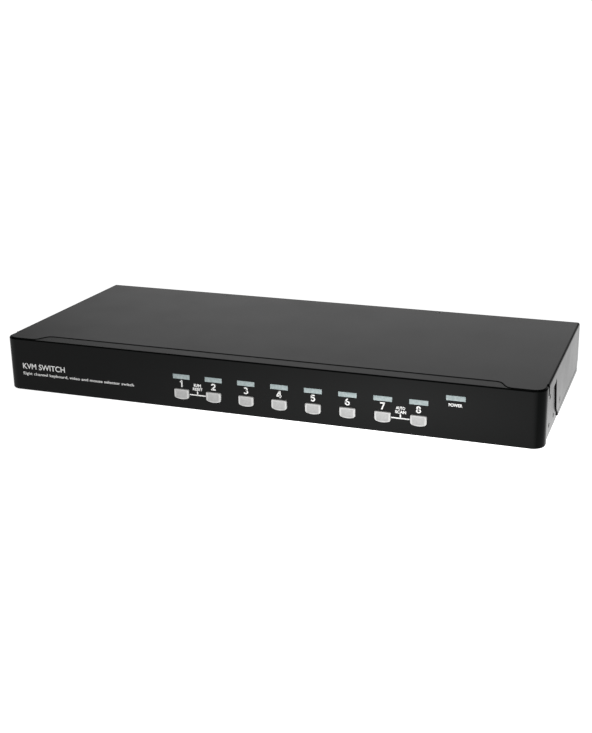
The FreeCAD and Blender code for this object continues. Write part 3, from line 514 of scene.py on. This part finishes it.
def dull_edges(material, shine):
    """Less shine on rounded edges and bends than on flat faces, so that they read as dark lines."""
    nodes, links = material.node_tree.nodes, material.node_tree.links
    where = nodes.new("ShaderNodeTexCoord")
    turned = add_group(nodes, TURNED_EDGES)
    links.new(where.outputs["Normal"], turned.inputs["Normal"])
    level = nodes.new("ShaderNodeMapRange")
    level.inputs["To Min"].default_value = 0.5
    level.inputs["To Max"].default_value = shine
    links.new(turned.outputs["Mask"], level.inputs["Value"])
    links.new(level.outputs["Result"], nodes["Principled BSDF"].inputs["Specular IOR Level"])


def grained_material(name, dark, light, rough, grain, patch, bump, ior=1.5, wear=None, wear_radius=0.25,
                     metallic=0.0):
    """A grained surface: two close tones in patches, uneven roughness, a fine relief and worn edges.

    dark and light are the two tones, rough the roughness range, grain and patch the sizes of the
    relief and of the patches in millimetres, bump the relief's depth in millimetres, and wear the
    colour of a rubbed edge; on the caps that pale edge colour is also a painted highlight.
    """
    material = bpy.data.materials.new(name)
    material.use_nodes = True
    nodes, links = material.node_tree.nodes, material.node_tree.links
    shader = nodes["Principled BSDF"]
    shader.inputs["IOR"].default_value = ior
    shader.inputs["Metallic"].default_value = metallic
    where = nodes.new("ShaderNodeTexCoord")
    surface = add_group(nodes, FINE_GRAIN, Grain_size=grain * MM, Patch_size=patch * MM)
    links.new(where.outputs["Object"], surface.inputs["Vector"])
    patches = spread_value(nodes, links, surface.outputs["Patches"], 0.0, 1.0)
    colour = blend_colour(nodes, links, patches, dark, light)
    if wear:
        breakup = spread_value(nodes, links, surface.outputs["Height"], 0.1, 0.9)
        edges = add_group(nodes, EDGE_WEAR, Radius=wear_radius * MM)
        links.new(breakup, edges.inputs["Breakup"])
        colour = blend_colour(nodes, links, edges.outputs["Mask"], colour, wear)
    links.new(colour, shader.inputs["Base Color"])
    links.new(spread_value(nodes, links, surface.outputs["Patches"], *rough),
              shader.inputs["Roughness"])
    relief = nodes.new("ShaderNodeBump")
    relief.inputs["Distance"].default_value = bump * MM
    relief.inputs["Strength"].default_value = 1.0
    links.new(surface.outputs["Height"], relief.inputs["Height"])
    links.new(relief.outputs["Normal"], shader.inputs["Normal"])
    return material


BEZEL_PLASTIC = grained_material("black_moulding_satin", dark=(0.0010, 0.0013, 0.0012),
                                 light=(0.0018, 0.0021, 0.0020), rough=(0.22, 0.28), grain=0.35,
                                 patch=30.0, bump=0.006, ior=1.2, wear=(0.006, 0.006, 0.006))
dull_edges(BEZEL_PLASTIC, 0.2)

moulding = add_object("front_bezel_moulding", bezel_mesh(), BEZEL_PLASTIC, "chassis")
window_level = middle_of("channel_window_1")[1]
openings = [(x, window_level) for x, z in CHANNELS] + [middle_of("power_window")]
CAP_GAP, CAP_FLARE = 0.25 * MM, 0.3 * MM
WINDOW_GAP, WINDOW_FLARE = 0.05 * MM, 0.15 * MM
tools = []
for n, (x, z) in enumerate(CHANNELS):
    tools.append(cutter(f"cap_cut_{n}", lambda grow: cap_outline(x, CAP_GAP + grow), CAP_FLARE))
for n, (x, z) in enumerate(openings):
    tools.append(cutter(f"window_cut_{n}", lambda grow: window_outline(x, z, WINDOW_GAP + grow),
                        WINDOW_FLARE))
bpy.context.view_layer.update()
for tool in tools:
    modifier = moulding.modifiers.new(tool.name, "BOOLEAN")
    modifier.operation = "DIFFERENCE"
    modifier.solver = "EXACT"
    modifier.object = tool
graph = bpy.context.evaluated_depsgraph_get()
pierced = bpy.data.meshes.new_from_object(moulding.evaluated_get(graph))
moulding.modifiers.clear()
moulding.data = pierced
for tool in tools:
    bpy.data.objects.remove(tool)
soften(pierced, 40.0)
steady_normals(moulding)
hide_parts("front_bezel")


# ---------------------------------------------------------------- selector caps
# Eight grey moulded caps, each with a softly rounded rim and a face that is dished a little, on a
# flange that keeps it behind the bezel's wall. The rim carries a painted highlight.
def cap_mesh(name, across):
    """A cap as rings of its outline, drawn in step by step round the rim and over the dished face.

    The rim turns through a quarter circle; the face then sinks as the square of the way to its middle.
    """
    face = FRONT - 1.0 * MM
    rim = 0.7 * MM
    flange, flange_front, flange_back = 0.9 * MM, FRONT + 2.75 * MM, FRONT + 3.7 * MM
    dish = 0.22 * MM
    rings = [upright(cap_outline(across, flange, 10), flange_back),
             upright(cap_outline(across, flange, 10), flange_front),
             upright(cap_outline(across, 0.0, 10), flange_front)]
    for angle in np.linspace(0, math.pi / 2, 7):
        outline = cap_outline(across, 0.0, 10)
        middle = outline.mean(0)
        inset = rim * (1 - math.cos(angle))
        half = np.abs(outline - middle).max(0)
        shrink = (half - inset) / half
        rings.append(upright(middle + (outline - middle) * shrink, face + rim - rim * math.sin(angle)))
    last = rings[-1]
    centre = last.mean(0)
    for share in (0.93, 0.8, 0.6, 0.35, 0.12):
        ring = centre + (last - centre) * share
        ring[:, 1] = face + dish * (1 - share ** 2)
        rings.append(ring)
    mesh = ring_mesh(name, rings)
    soften(mesh, 50.0)
    mark_rim(mesh, across)
    return mesh


def mark_rim(mesh, across):
    """A point value "rim" that places a painted highlight: one over the rounded rim, falling to nothing a
    little way in.

    It follows the larger of a point's shares of the cap's half width and half height.
    """
    place = np.empty(len(mesh.vertices) * 3)
    mesh.vertices.foreach_get("co", place)
    place = place.reshape(-1, 3)
    share = np.maximum(np.abs(place[:, 0] - across) / (CAP_WIDTH / 2),
                       np.abs(place[:, 2] - CAP_LEVEL) / (CAP_HEIGHT / 2))
    rim = mesh.attributes.new("rim", "FLOAT", "POINT")
    rim.data.foreach_set("value", np.clip((share - 0.74) / 0.10, 0.0, 1.0))


def lighten_rim(material, colour):
    """A painted highlight: a lighter tone mixed over a cap's own ones wherever its "rim" value is high.
    """
    nodes, links = material.node_tree.nodes, material.node_tree.links
    socket = nodes["Principled BSDF"].inputs["Base Color"]
    below = socket.links[0].from_socket
    rim = nodes.new("ShaderNodeAttribute")
    rim.attribute_name = "rim"
    links.new(blend_colour(nodes, links, rim.outputs["Fac"], below, colour), socket)


# The caps' pale edge colour over 0.9 mm is partly wear and partly a painted highlight on the rounded rim.
CAP_PLASTIC = grained_material("grey_cap_moulding", dark=(0.34, 0.34, 0.335),
                               light=(0.42, 0.42, 0.415), rough=(0.38, 0.5), grain=0.3, patch=1.2,
                               bump=0.03, ior=1.46, wear=(0.74, 0.74, 0.73), wear_radius=0.9)
# The rim tone is a painted highlight for the light that the rounded rim catches.
lighten_rim(CAP_PLASTIC, (0.56, 0.56, 0.55))
for number, (across, level) in enumerate(CHANNELS, start=1):
    cap = add_object(f"selector_cap_{number}", cap_mesh(f"selector_cap_{number}", across), CAP_PLASTIC,
                     f"button_{number}")
    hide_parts(f"select_button_{number}")


# ---------------------------------------------------------------- status windows
# Nine pale, frosted light guides fill their slots almost flush. Each is a lens on a flange that is
# glued behind the wall.
def lens_mesh(name, across, level):
    """A lens with a small round edge, on its flange."""
    face = FRONT + 0.12 * MM
    edge = 0.2 * MM
    flange, flange_front, flange_back = 1.0 * MM, FRONT + 2.52 * MM, FRONT + 3.5 * MM
    rings = [upright(window_outline(across, level, flange), flange_back),
             upright(window_outline(across, level, flange), flange_front),
             upright(window_outline(across, level, 0.0), flange_front)]
    for angle in np.linspace(0, math.pi / 2, 5):
        rings.append(upright(window_outline(across, level, -edge * (1 - math.cos(angle))),
                             face + edge - edge * math.sin(angle)))
    mesh = ring_mesh(name, rings)
    soften(mesh, 40.0)
    return mesh


LENS = grained_material("frosted_lens", dark=(0.24, 0.30, 0.302), light=(0.34, 0.40, 0.402),
                        rough=(0.22, 0.34), grain=0.5, patch=2.2, bump=0.02, ior=1.49)
names = [f"channel_window_{number}" for number in range(1, 9)] + ["power_window"]
for name, (across, level) in zip(names, openings):
    lens = add_object(name.replace("window", "lens"), lens_mesh(name, across, level), LENS, "chassis")
    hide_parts(name)


# ---------------------------------------------------------------- front printing
# White screen-printed ink on the moulding: the channel numbers, the lines that pair two caps, the
# small labels and a plain two-line title at the left. Each mark is a film set into the wall.
INK_SKIN = 0.03 * MM
INK_ROOT = 0.15 * MM


def stroke_mesh(name, path, width, closed=False):
    """A pen stroke of constant width along an (x, z) path, as a closed film in the front wall.

    Each point's offset is its two runs' mean normal, lengthened by 1 / cos(half the turn).
    """
    path = np.asarray(path, float)
    runs = np.roll(path, -1, axis=0) - path
    runs /= np.linalg.norm(runs, axis=1)[:, None]
    before = np.roll(runs, 1, axis=0)
    if not closed:
        before[0] = runs[0]
        runs[-1] = before[-1]
    normal = np.stack([-(before + runs)[:, 1], (before + runs)[:, 0]], -1)
    normal /= (1 + (before * runs).sum(1))[:, None]
    left = path + normal * width / 2
    right = path - normal * width / 2
    skin, root = FRONT - INK_SKIN, FRONT + INK_ROOT
    corners = [(left, skin), (right, skin), (right, root), (left, root)]
    return ring_mesh(name, np.stack([upright(side, depth) for side, depth in corners], 1), closed)


def bow(across, up, wide, high, first, last, steps=14):
    """Part of an ellipse about a middle, from one angle to another in degrees."""
    angle = np.radians(np.linspace(first, last, steps + 1))
    return np.stack([across + wide * np.cos(angle), up + high * np.sin(angle)], -1)


def ellipse(across, up, wide, high, steps=28):
    """A whole ellipse without its repeated last point."""
    return bow(across, up, wide, high, 0.0, 360.0, steps)[:-1]


def digit_strokes(digit):
    """The strokes of a bold, geometric digit 5.1 high, as (path, closed) pairs in millimetres."""
    if digit == 1:
        return [([(0.35, 2.55), (0.35, -2.55)], False), ([(0.3, 1.75), (-1.15, 1.2)], False)]
    if digit == 2:
        arm = np.concatenate([bow(0.0, 0.8, 1.38, 1.2, 170, -25), [(-1.3, -1.9)]])
        return [(arm, False), ([(-1.95, -1.98), (2.0, -1.98)], False)]
    if digit == 3:
        return [(bow(-0.1, 1.07, 1.22, 0.92, 150, -90), False),
                (bow(-0.1, -0.9, 1.5, 1.08, 90, -155), False)]
    if digit == 4:
        return [([(0.85, 2.55), (0.85, -2.55)], False), ([(0.6, 2.3), (-1.6, -0.75)], False),
                ([(-2.1, -1.15), (2.1, -1.15)], False)]
    if digit == 5:
        return [([(-1.35, 1.98), (1.6, 1.98)], False), ([(-0.98, 2.3), (-1.2, -0.1)], False),
                (bow(-0.1, -0.72, 1.52, 1.25, 125, -155), False)]
    if digit == 6:
        return [(ellipse(0.0, -0.83, 1.42, 1.14), True), (bow(0.95, -0.6, 2.35, 2.75, 180, 103), False)]
    if digit == 7:
        return [([(-1.95, 1.98), (1.9, 1.98)], False), ([(1.3, 1.9), (-0.75, -2.55)], False)]
    return [(ellipse(0.0, 1.14, 1.16, 0.86), True), (ellipse(0.0, -0.9, 1.42, 1.08), True)]


def words_mesh(name, words, left, right, foot, head, skin, root, weight=0.03, facing=1):
    """Lettering fitted to a box on a wall, as a closed film between two depths.

    facing is 1 on the front wall and -1 on the back, where the letters run towards -X.
    """
    curve = bpy.data.curves.new(name, "FONT")
    curve.body = words
    curve.offset = weight
    curve.extrude = 0.5
    carrier = bpy.data.objects.new(name, curve)
    bpy.context.scene.collection.objects.link(carrier)
    bpy.context.view_layer.update()
    mesh = bpy.data.meshes.new_from_object(carrier.evaluated_get(bpy.context.evaluated_depsgraph_get()))
    bpy.data.objects.remove(carrier)
    flat = np.empty(len(mesh.vertices) * 3)
    mesh.vertices.foreach_get("co", flat)
    flat = flat.reshape(-1, 3)
    share = (flat - flat.min(0)) / (flat.max(0) - flat.min(0))
    across = left + (right - left) * share[:, 0]
    if facing < 0:
        across = right - (right - left) * share[:, 0]
    depth = root + (skin - root) * share[:, 2]
    up = foot + (head - foot) * share[:, 1]
    mesh.vertices.foreach_set("co", np.stack([across, depth, up], -1).ravel())
    return mesh


def joined_mesh(name, meshes):
    """Several closed meshes as one, with every face turned outward."""
    work = bmesh.new()
    for mesh in meshes:
        work.from_mesh(mesh)
    bmesh.ops.remove_doubles(work, verts=work.verts, dist=1e-8)
    bmesh.ops.recalc_face_normals(work, faces=work.faces)
    whole = bpy.data.meshes.new(name)
    work.to_mesh(whole)
    work.free()
    return whole


def front_words(words, left, right, foot, head, weight):
    """A label on the front wall from its box in millimetres."""
    return words_mesh(words, words, left * MM, right * MM, foot * MM, head * MM, FRONT - INK_SKIN,
                      FRONT + INK_ROOT, weight)


INK = grained_material("white_screen_ink", dark=(0.74, 0.74, 0.73), light=(0.84, 0.84, 0.83),
                       rough=(0.45, 0.6), grain=0.2, patch=1.5, bump=0.006, ior=1.45)
DIGIT_LEVEL = 20.5 * MM
DIGIT_SIZE = np.array([0.98, 1.12]) * MM
DIGIT_PEN, LINE_PEN, TICK_PEN = 1.02 * MM, 0.9 * MM, 1.0 * MM
PAIR_LEVEL, TICK_FOOT, TICK_HEAD = 12.3 * MM, 12.4 * MM, 15.5 * MM
PAIR_GAP = CAP_WIDTH / 2 + 0.55 * MM
marks = []
for digit, (across, level) in enumerate(CHANNELS, start=1):
    for path, closed in digit_strokes(digit):
        placed = np.asarray(path) * DIGIT_SIZE + np.array([across, DIGIT_LEVEL])
        marks.append(stroke_mesh(f"digit_{digit}", placed, DIGIT_PEN, closed))
for first in (0, 6):
    start = CHANNELS[first, 0] + PAIR_GAP
    end = CHANNELS[first + 1, 0] - PAIR_GAP
    middle = (start + end) / 2
    marks.append(stroke_mesh("pair_line", [(start, PAIR_LEVEL), (end, PAIR_LEVEL)], LINE_PEN))
    marks.append(stroke_mesh("pair_tick", [(middle, TICK_FOOT), (middle, TICK_HEAD)], TICK_PEN))
SMALL, TITLE = 0.035, 0.01
labels = [("K/M", -50.6, -44.6, 18.9, 21.5, SMALL), ("RESET", -51.6, -43.4, 16.05, 18.35, SMALL),
          ("AUTO", 111.2, 118.2, 19.0, 21.4, SMALL), ("SCAN", 110.7, 119.0, 16.0, 18.35, SMALL),
          ("POWER", 150.3, 160.4, 25.75, 28.15, SMALL),
          ("KVM SWITCH", -204.0, -165.0, 18.6, 23.3, TITLE),
          ("Eight channel keyboard, video and mouse selector switch", -204.0, -103.0, 12.9, 15.9, TITLE)]
marks += [front_words(*label) for label in labels]
printing = add_object("front_printing", joined_mesh("front_printing", marks), INK, "chassis")
printing.data.shade_flat()


# ---------------------------------------------------------------- folded case
# The cover and the tray are folded from one-millimetre steel sheet and powder coated black. Their
# cut edges are a little rounded under the coat.
def tuck_in(mesh, source):
    """Put any vertex that the rounding threw outside the source's box on its nearest vertex."""
    place, known = (np.empty(len(part.vertices) * 3) for part in (mesh, source))
    mesh.vertices.foreach_get("co", place)
    source.vertices.foreach_get("co", known)
    place, known = place.reshape(-1, 3), known.reshape(-1, 3)
    slack = 0.01 * MM
    stray = np.flatnonzero(((place < known.min(0) - slack) | (place > known.max(0) + slack)).any(1))
    gap = np.square(place[stray, None] - known[None]).sum(2)
    place[stray] = known[gap.argmin(1)]
    mesh.vertices.foreach_set("co", place.ravel())
    mesh.update()


def rounded_copy(node, name, width, material):
    """A node's mesh as a new piece, with its vertices joined and its sharp edges rounded."""
    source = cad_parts[node]
    mesh = source.data.copy()
    mesh.transform(source.matrix_world)
    mesh.materials.clear()
    work = bmesh.new()
    work.from_mesh(mesh)
    bmesh.ops.remove_doubles(work, verts=work.verts, dist=1e-6)
    bmesh.ops.dissolve_limit(work, angle_limit=math.radians(0.6), verts=work.verts, edges=work.edges)
    bmesh.ops.recalc_face_normals(work, faces=work.faces)
    work.to_mesh(mesh)
    work.free()
    soften(mesh, 60.0)
    piece = add_object(name, mesh, material, "chassis")
    edge = piece.modifiers.new("rounded_edges", "BEVEL")
    edge.width = width
    edge.segments = 3
    edge.limit_method = "ANGLE"
    edge.angle_limit = math.radians(30.0)
    edge.use_clamp_overlap = False
    graph = bpy.context.evaluated_depsgraph_get()
    rounded = bpy.data.meshes.new_from_object(piece.evaluated_get(graph))
    piece.modifiers.clear()
    tuck_in(rounded, mesh)
    piece.data = rounded
    steady_normals(piece)
    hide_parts(node)
    return piece


PAINT = grained_material("powder_coat_black", dark=(0.0020, 0.0020, 0.0021),
                         light=(0.0030, 0.0030, 0.0031), rough=(0.20, 0.26), grain=0.45, patch=45.0,
                         bump=0.006, ior=1.22, wear=(0.006, 0.006, 0.006))
dull_edges(PAINT, 0.1)
rounded_copy("top_cover", "steel_cover", 0.32 * MM, PAINT)
rounded_copy("base_tray", "steel_tray", 0.08 * MM, PAINT)


# ---------------------------------------------------------------- case screws
# Countersunk cross-head screws, black oxide on steel, hold the cover to the tray; six plated
# round-headed ones hold the moulding from inside.
BLACK_OXIDE = grained_material("black_oxide_steel", dark=(0.012, 0.012, 0.013),
                               light=(0.022, 0.021, 0.02), rough=(0.28, 0.42), grain=0.15, patch=1.5,
                               bump=0.006, ior=1.6, wear=(0.10, 0.10, 0.10), wear_radius=0.15)
ZINC = grained_material("zinc_plated_steel", dark=(0.55, 0.54, 0.50), light=(0.66, 0.65, 0.62),
                        rough=(0.28, 0.42), grain=0.12, patch=1.0, bump=0.005, wear=(0.75, 0.74, 0.72),
                        wear_radius=0.15, metallic=1.0)
rounded_copy("cover_screws", "cover_screw_set", 0.07 * MM, BLACK_OXIDE)
rounded_copy("bezel_screws", "bezel_screw_set", 0.1 * MM, ZINC)


# ---------------------------------------------------------------- rear connectors
# Nickel-plated skirts, shells and hexagonal posts stand out of the rear wall round moulded cores.
# Gilded contacts lie on the cores of the USB sockets.
NICKEL = grained_material("nickel_plate", dark=(0.60, 0.58, 0.55), light=(0.70, 0.68, 0.65),
                          rough=(0.22, 0.36), grain=0.1, patch=2.0, bump=0.004,
                          wear=(0.80, 0.79, 0.77), wear_radius=0.12, metallic=1.0)
BLUE = grained_material("blue_core_moulding", dark=(0.008, 0.028, 0.19), light=(0.012, 0.038, 0.25),
                        rough=(0.4, 0.52), grain=0.2, patch=2.0, bump=0.01, ior=1.46)
BLACK = grained_material("black_core_moulding", dark=(0.012, 0.012, 0.012),
                         light=(0.022, 0.022, 0.022), rough=(0.4, 0.55), grain=0.2, patch=2.0,
                         bump=0.01, ior=1.46)
GOLD = grained_material("gilded_contact", dark=(0.85, 0.60, 0.25), light=(0.95, 0.70, 0.33),
                        rough=(0.2, 0.32), grain=0.1, patch=1.0, bump=0.003, metallic=1.0)
for number in range(1, 9):
    rounded_copy(f"video_shell_{number}", f"video_skirt_{number}", 0.12 * MM, NICKEL)
rounded_copy("console_video_shell", "console_video_skirt", 0.12 * MM, NICKEL)
rounded_copy("video_inserts", "video_cores", 0.1 * MM, BLUE)
rounded_copy("jackscrews", "hexagonal_posts", 0.2 * MM, NICKEL)
rounded_copy("usb_shells", "device_socket_shells", 0.12 * MM, NICKEL)
rounded_copy("usb_cores", "device_socket_cores", 0.15 * MM, BLACK)
rounded_copy("console_usb_shell", "host_socket_shell", 0.12 * MM, NICKEL)
rounded_copy("console_usb_tongues", "host_socket_tongues", 0.12 * MM, BLACK)
rounded_copy("power_jack", "power_socket", 0.2 * MM, BLACK)
rounded_copy("power_jack_pin", "power_socket_pin", 0.15 * MM, NICKEL)


def block_mesh(name, lower, upper):
    """A rectangular block between two corners."""
    corners = rounded_outline([(lower[0], lower[2], 0.0), (upper[0], lower[2], 0.0),
                               (upper[0], upper[2], 0.0), (lower[0], upper[2], 0.0)], 1)
    return ring_mesh(name, [upright(corners[::2], lower[1]), upright(corners[::2], upper[1])])


CONTACT = 0.9 * MM
SHEET = 0.06 * MM
contacts = []
usb_low, usb_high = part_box("usb_cores")
port_step = (usb_high.x - usb_low.x - 5.6 * MM) / 7
for port in range(8):
    middle = usb_low.x + 2.8 * MM + port * port_step
    for side in (-1, 1):
        for face, sign in ((usb_low.z, -1), (usb_high.z, 1)):
            left = middle + side * 1.25 * MM - CONTACT / 2
            skin = sorted((face + sign * SHEET, face - sign * SHEET))
            contacts.append(block_mesh("contact", (left, usb_high.y - 7.0 * MM, skin[0]),
                                       (left + CONTACT, usb_high.y - 0.7 * MM, skin[1])))
tongue_low, tongue_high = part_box("console_usb_tongues")
for face in (tongue_low.z, tongue_high.z - 1.8 * MM):
    for column in (-3.5, -1.0, 1.0, 3.5):
        left = (tongue_low.x + tongue_high.x) / 2 + column * MM - CONTACT / 2
        contacts.append(block_mesh("contact", (left, tongue_high.y - 7.5 * MM, face - SHEET),
                                   (left + CONTACT, tongue_high.y - 0.8 * MM, face + SHEET)))
add_object("socket_contacts", joined_mesh("socket_contacts", contacts), GOLD, "chassis").data.shade_flat()


# ---------------------------------------------------------------- rear printing
# The same white ink numbers each computer's pair of sockets and names the console's and the
# supply's.
LABEL_FOOT = 27.0 * MM
rear_marks = []


def rear_words(words, middle, half, height):
    """A label on the rear wall, read from behind."""
    return words_mesh(words, words, middle - half, middle + half, LABEL_FOOT, LABEL_FOOT + height,
                      BACK + INK_SKIN, BACK - INK_ROOT, 0.03, -1)


WORD_HEIGHT = 2.6 * MM
NUMBER_HEIGHT = 3.6 * MM
for number in range(1, 9):
    middle = middle_of(f"video_shell_{number}")[0] - 8.0 * MM
    half = (0.65 if number == 1 else 1.2) * MM
    rear_marks.append(rear_words(str(number), middle, half, NUMBER_HEIGHT))
console = middle_of("console_video_shell")[0] + 6.0 * MM
rear_marks.append(rear_words("CONSOLE", console, 8.0 * MM, WORD_HEIGHT))
rear_marks.append(rear_words("DC", middle_of("power_jack")[0], 2.2 * MM, WORD_HEIGHT))
add_object("rear_printing", joined_mesh("rear_printing", rear_marks), INK, "chassis").data.shade_flat()


# ---------------------------------------------------------------- inside the case
# Switches, lights, boards, spacers, chips and the flat cable keep the frame's meshes. They are seen
# only through an opened case, so each just gets the material of its kind.
BOARD = grained_material("solder_mask", dark=(0.008, 0.075, 0.028), light=(0.012, 0.105, 0.04),
                         rough=(0.25, 0.4), grain=0.25, patch=3.0, bump=0.01)
RESIN = grained_material("chip_epoxy", dark=(0.014, 0.014, 0.015), light=(0.024, 0.024, 0.026),
                         rough=(0.45, 0.6), grain=0.15, patch=2.0, bump=0.01)
CLEAR = grained_material("light_epoxy", dark=(0.60, 0.60, 0.57), light=(0.72, 0.72, 0.69),
                         rough=(0.12, 0.2), grain=0.2, patch=1.5, bump=0.004)
CABLE = grained_material("flat_cable_jacket", dark=(0.38, 0.38, 0.38), light=(0.48, 0.48, 0.48),
                         rough=(0.4, 0.5), grain=0.3, patch=2.0, bump=0.02)
SLEEVE = grained_material("capacitor_sleeve", dark=(0.012, 0.018, 0.06), light=(0.02, 0.03, 0.09),
                          rough=(0.22, 0.34), grain=0.2, patch=2.0, bump=0.006)
NYLON = grained_material("plunger_nylon", dark=(0.012, 0.012, 0.012), light=(0.02, 0.02, 0.02),
                         rough=(0.4, 0.5), grain=0.2, patch=1.5, bump=0.008)
inside = {BOARD: ("main_board", "front_board"),
          RESIN: ("switch_chips", "processor_chip", "voltage_regulator"),
          CLEAR: ("status_lights",), CABLE: ("ribbon_cable",), SLEEVE: ("capacitors",),
          BLACK: ("switch_housings", "ribbon_headers", "buzzer"),
          ZINC: ("board_spacers", "board_screws"),
          NYLON: tuple(f"switch_plunger_{number}" for number in range(1, 9))}
for material, node_names in inside.items():
    for node in node_names:
        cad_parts[node].data.materials.clear()
        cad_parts[node].data.materials.append(material)
